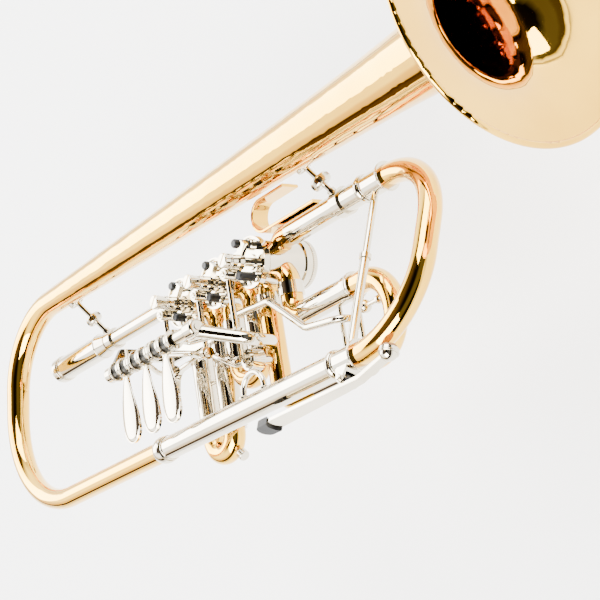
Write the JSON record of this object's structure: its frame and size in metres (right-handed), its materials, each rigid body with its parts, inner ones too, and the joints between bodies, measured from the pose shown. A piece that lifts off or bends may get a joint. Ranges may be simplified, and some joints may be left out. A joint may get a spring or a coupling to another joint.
{
  "type": "rotary valve trumpet",
  "caption": "Rotary valve trumpet in B flat: gold brass bell, bow and slides, nickel silver leadpipe, rotary valves, ball-linked levers, tuning slide and water key.",
  "frame": {"origin": "centre of the mouthpiece receiver's mouth", "axes": "+X from the receiver to the bell, +Y from the lower leg to the bell, +Z from the valve plane to the finger levers"},
  "size_m": [0.497, 0.2201, 0.1436],
  "materials": {
    "gold_brass": "lacquered",
    "nickel_silver": "polished",
    "spring_steel": "blued",
    "black_rubber": "satin",
    "natural_cork": "matte"
  },
  "bodies": {
    "trumpet": {"bell": "gold_brass", "bell_bow": "gold_brass", "lower_tube": "gold_brass", "lower_slide_sleeve": "nickel_silver", "upper_slide_sleeve": "nickel_silver", "receiver": "nickel_silver", "leadpipe": "nickel_silver", "windway_tubes": "gold_brass", "leg_ferrules": "nickel_silver", "valve_casing_1": "nickel_silver", "valve_casing_2": "nickel_silver", "valve_casing_3": "nickel_silver", "bearing_plate_1": "nickel_silver", "bearing_plate_2": "nickel_silver", "bearing_plate_3": "nickel_silver", "bottom_cap_1": "nickel_silver", "bottom_cap_2": "nickel_silver", "bottom_cap_3": "nickel_silver", "stop_bumpers": "black_rubber", "lever_axle": "nickel_silver", "lever_bracket": "nickel_silver", "lever_springs": "spring_steel", "slide_knuckles": "gold_brass", "valve_slide_sleeves": "nickel_silver", "thumb_saddle": "nickel_silver", "finger_ring": "nickel_silver", "finger_hook": "gold_brass", "rear_brace": "nickel_silver", "front_brace": "nickel_silver", "leg_stays": "nickel_silver", "lever_front_arm": "nickel_silver"},
    "valve_1": {"rotor_1": "nickel_silver", "stop_arm_1": "nickel_silver"},
    "linkage_1": {"link_1": "nickel_silver"},
    "finger_lever_1": {"lever_1": "nickel_silver"},
    "valve_2": {"rotor_2": "nickel_silver", "stop_arm_2": "nickel_silver"},
    "linkage_2": {"link_2": "nickel_silver"},
    "finger_lever_2": {"lever_2": "nickel_silver"},
    "valve_3": {"rotor_3": "nickel_silver", "stop_arm_3": "nickel_silver"},
    "linkage_3": {"link_3": "nickel_silver"},
    "finger_lever_3": {"lever_3": "nickel_silver"},
    "tuning_slide": {"tuning_bow": "gold_brass", "tuning_inner_tubes": "nickel_silver", "tuning_bow_ferrules": "nickel_silver", "water_key_saddle": "nickel_silver", "tuning_slide_stay": "nickel_silver"},
    "water_key": {"water_key_lever": "nickel_silver", "water_key_cork": "natural_cork", "water_key_tip": "black_rubber"},
    "first_slide": {"first_slide_bow": "gold_brass", "first_slide_legs": "nickel_silver", "first_slide_knob": "nickel_silver"},
    "second_slide": {"second_slide_bow": "gold_brass", "second_slide_legs": "nickel_silver"},
    "third_slide": {"third_slide_bow": "gold_brass", "third_slide_legs": "nickel_silver", "third_slide_knob": "nickel_silver", "third_slide_rod": "nickel_silver"}
  },
  "joints": [
    {"name": "valve_1_turn", "type": "hinge", "parent": "trumpet", "child": "valve_1", "pos_m": [0.1695, -0.01068, 0], "axis": [0, 0, -1], "range_deg": [0, 90], "stiffness_Nm_per_rad": 0.02, "springref_deg": -22.92},
    {"name": "lever_1_press", "type": "hinge", "parent": "trumpet", "child": "finger_lever_1", "pos_m": [0.153, -0.044, 0.048], "axis": [1, 0, 0], "range_deg": [0, 27.07]},
    {"name": "link_1_swing", "type": "hinge", "parent": "valve_1", "child": "linkage_1", "pos_m": [0.16384, -0.01633, 0.0245], "axis": [0, 0, 1], "range_deg": [0, 90]},
    {"name": "valve_2_turn", "type": "hinge", "parent": "trumpet", "child": "valve_2", "pos_m": [0.2055, -0.01068, 0], "axis": [0, 0, -1], "range_deg": [0, 90], "stiffness_Nm_per_rad": 0.02, "springref_deg": -22.92},
    {"name": "lever_2_press", "type": "hinge", "parent": "trumpet", "child": "finger_lever_2", "pos_m": [0.1745, -0.044, 0.048], "axis": [1, 0, 0], "range_deg": [0, 27.07]},
    {"name": "link_2_swing", "type": "hinge", "parent": "valve_2", "child": "linkage_2", "pos_m": [0.19984, -0.01633, 0.0245], "axis": [0, 0, 1], "range_deg": [0, 90]},
    {"name": "valve_3_turn", "type": "hinge", "parent": "trumpet", "child": "valve_3", "pos_m": [0.2415, -0.01068, 0], "axis": [0, 0, -1], "range_deg": [0, 90], "stiffness_Nm_per_rad": 0.02, "springref_deg": -22.92},
    {"name": "lever_3_press", "type": "hinge", "parent": "trumpet", "child": "finger_lever_3", "pos_m": [0.196, -0.044, 0.048], "axis": [1, 0, 0], "range_deg": [0, 31.59]},
    {"name": "link_3_swing", "type": "hinge", "parent": "valve_3", "child": "linkage_3", "pos_m": [0.23584, -0.01633, 0.028], "axis": [0, 0, 1], "range_deg": [0, 90]},
    {"name": "tuning_slide_pull", "type": "slide", "parent": "trumpet", "child": "tuning_slide", "axis": [1, 0, 0], "range_m": [0, 0.045]},
    {"name": "first_slide_pull", "type": "slide", "parent": "trumpet", "child": "first_slide", "axis": [0, -1, 0], "range_m": [0, 0.02]},
    {"name": "second_slide_pull", "type": "slide", "parent": "trumpet", "child": "second_slide", "axis": [0, -1, 0], "range_m": [0, 0.012]},
    {"name": "third_slide_pull", "type": "slide", "parent": "trumpet", "child": "third_slide", "axis": [1, 0, 0], "range_m": [0, 0.02]},
    {"name": "water_key_open", "type": "hinge", "parent": "tuning_slide", "child": "water_key", "pos_m": [0.338, -0.10571, 0.04118], "axis": [0, -0.3633, -0.9317], "range_deg": [0, 4], "stiffness_Nm_per_rad": 0.02, "springref_deg": -20.05}
  ],
  "couplings": [
    {"joint": "lever_1_press", "follows": "valve_1_turn", "ratio": 0.3007},
    {"joint": "link_1_swing", "follows": "valve_1_turn", "ratio": 1},
    {"joint": "lever_2_press", "follows": "valve_2_turn", "ratio": 0.3007},
    {"joint": "link_2_swing", "follows": "valve_2_turn", "ratio": 1},
    {"joint": "lever_3_press", "follows": "valve_3_turn", "ratio": 0.3509},
    {"joint": "link_3_swing", "follows": "valve_3_turn", "ratio": 1}
  ]
}
